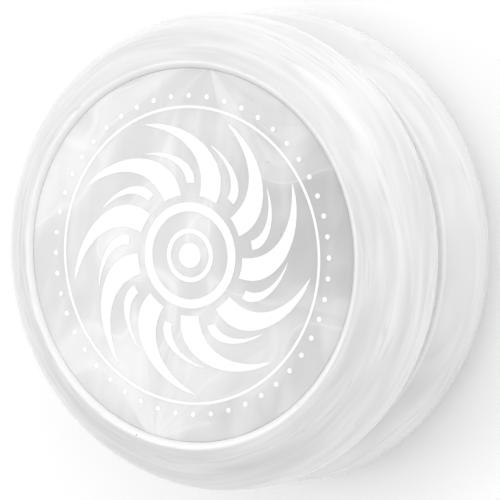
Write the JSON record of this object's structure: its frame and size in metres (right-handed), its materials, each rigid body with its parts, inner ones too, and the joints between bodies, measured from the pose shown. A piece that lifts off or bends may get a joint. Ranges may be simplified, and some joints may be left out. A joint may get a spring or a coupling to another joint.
{
  "type": "looping yo-yo",
  "caption": "Palm-sized looping yo-yo: two rounded marbled plastic halves with inset printed face discs, screwed together on an axle, with a ball bearing for the string.",
  "frame": {"origin": "centre of the ball bearing, midway between the two halves", "axes": "+Z along the axle, from the half that the yo-yo lies on towards the other; X and Y lie in the string gap"},
  "size_m": [0.057, 0.057, 0.027],
  "materials": {
    "marbled_body": "polished, marbled white and silver",
    "face_disc": "polished, white print on the outer face",
    "axle_steel": "blackened steel thread",
    "nut_steel": "plated steel",
    "spacer_aluminium": "turned",
    "race_steel": "ground bearing steel",
    "cage_brass": "pressed",
    "shield_steel": "thin stainless steel",
    "ball_steel": "polished ball"
  },
  "bodies": {
    "lower_half": {"lower_body": "marbled_body", "lower_cap": "face_disc", "lower_nut": "nut_steel", "lower_spacer": "spacer_aluminium", "axle": "axle_steel"},
    "bearing_core": {"bearing_inner_race": "race_steel"},
    "upper_half": {"upper_body": "marbled_body", "upper_cap": "face_disc", "upper_nut": "nut_steel", "upper_spacer": "spacer_aluminium"},
    "bearing_outer": {"bearing_outer_race": "race_steel", "lower_shield": "shield_steel", "upper_shield": "shield_steel", "lower_snap_ring": "shield_steel", "upper_snap_ring": "shield_steel"},
    "cage": {"ball_cage": "cage_brass"},
    "rolling_ball_01": {"ball_01": "ball_steel"},
    "rolling_ball_02": {"ball_02": "ball_steel"},
    "rolling_ball_03": {"ball_03": "ball_steel"},
    "rolling_ball_04": {"ball_04": "ball_steel"},
    "rolling_ball_05": {"ball_05": "ball_steel"},
    "rolling_ball_06": {"ball_06": "ball_steel"},
    "rolling_ball_07": {"ball_07": "ball_steel"},
    "rolling_ball_08": {"ball_08": "ball_steel"},
    "rolling_ball_09": {"ball_09": "ball_steel"},
    "rolling_ball_10": {"ball_10": "ball_steel"},
    "rolling_ball_11": {"ball_11": "ball_steel"}
  },
  "joints": [
    {"name": "unscrew_turn", "type": "hinge", "parent": "lower_half", "child": "bearing_core", "pos_m": [0, 0, 0], "axis": [0, 0, 1], "range_deg": [0, 2520]},
    {"name": "unscrew_travel", "type": "slide", "parent": "bearing_core", "child": "upper_half", "axis": [0, 0, 1], "range_m": [0, 0.0049]},
    {"name": "bearing_spin", "type": "hinge", "parent": "bearing_core", "child": "bearing_outer", "pos_m": [0, 0, 0], "axis": [0, 0, 1], "continuous": true},
    {"name": "cage_spin", "type": "hinge", "parent": "bearing_core", "child": "cage", "pos_m": [0, 0, 0], "axis": [0, 0, 1], "continuous": true},
    {"name": "ball_01_roll", "type": "hinge", "parent": "cage", "child": "rolling_ball_01", "pos_m": [0.00381, 0.00112, 0], "axis": [0, 0, 1], "continuous": true},
    {"name": "ball_02_roll", "type": "hinge", "parent": "cage", "child": "rolling_ball_02", "pos_m": [0.0026, 0.003, 0], "axis": [0, 0, 1], "continuous": true},
    {"name": "ball_03_roll", "type": "hinge", "parent": "cage", "child": "rolling_ball_03", "pos_m": [0.00056, 0.00393, 0], "axis": [0, 0, 1], "continuous": true},
    {"name": "ball_04_roll", "type": "hinge", "parent": "cage", "child": "rolling_ball_04", "pos_m": [-0.00165, 0.00361, 0], "axis": [0, 0, 1], "continuous": true},
    {"name": "ball_05_roll", "type": "hinge", "parent": "cage", "child": "rolling_ball_05", "pos_m": [-0.00334, 0.00215, 0], "axis": [0, 0, 1], "continuous": true},
    {"name": "ball_06_roll", "type": "hinge", "parent": "cage", "child": "rolling_ball_06", "pos_m": [-0.00397, 0, 0], "axis": [0, 0, 1], "continuous": true},
    {"name": "ball_07_roll", "type": "hinge", "parent": "cage", "child": "rolling_ball_07", "pos_m": [-0.00334, -0.00215, 0], "axis": [0, 0, 1], "continuous": true},
    {"name": "ball_08_roll", "type": "hinge", "parent": "cage", "child": "rolling_ball_08", "pos_m": [-0.00165, -0.00361, 0], "axis": [0, 0, 1], "continuous": true},
    {"name": "ball_09_roll", "type": "hinge", "parent": "cage", "child": "rolling_ball_09", "pos_m": [0.00056, -0.00393, 0], "axis": [0, 0, 1], "continuous": true},
    {"name": "ball_10_roll", "type": "hinge", "parent": "cage", "child": "rolling_ball_10", "pos_m": [0.0026, -0.003, 0], "axis": [0, 0, 1], "continuous": true},
    {"name": "ball_11_roll", "type": "hinge", "parent": "cage", "child": "rolling_ball_11", "pos_m": [0.00381, -0.00112, 0], "axis": [0, 0, 1], "continuous": true}
  ],
  "couplings": [
    {"joint": "unscrew_travel", "follows": "unscrew_turn", "m_per_rad": 0.00011141},
    {"joint": "cage_spin", "follows": "bearing_spin", "ratio": 0.563},
    {"joint": "ball_01_roll", "follows": "bearing_spin", "ratio": 3.907},
    {"joint": "ball_02_roll", "follows": "bearing_spin", "ratio": 3.907},
    {"joint": "ball_03_roll", "follows": "bearing_spin", "ratio": 3.907},
    {"joint": "ball_04_roll", "follows": "bearing_spin", "ratio": 3.907},
    {"joint": "ball_05_roll", "follows": "bearing_spin", "ratio": 3.907},
    {"joint": "ball_06_roll", "follows": "bearing_spin", "ratio": 3.907},
    {"joint": "ball_07_roll", "follows": "bearing_spin", "ratio": 3.907},
    {"joint": "ball_08_roll", "follows": "bearing_spin", "ratio": 3.907},
    {"joint": "ball_09_roll", "follows": "bearing_spin", "ratio": 3.907},
    {"joint": "ball_10_roll", "follows": "bearing_spin", "ratio": 3.907},
    {"joint": "ball_11_roll", "follows": "bearing_spin", "ratio": 3.907}
  ]
}
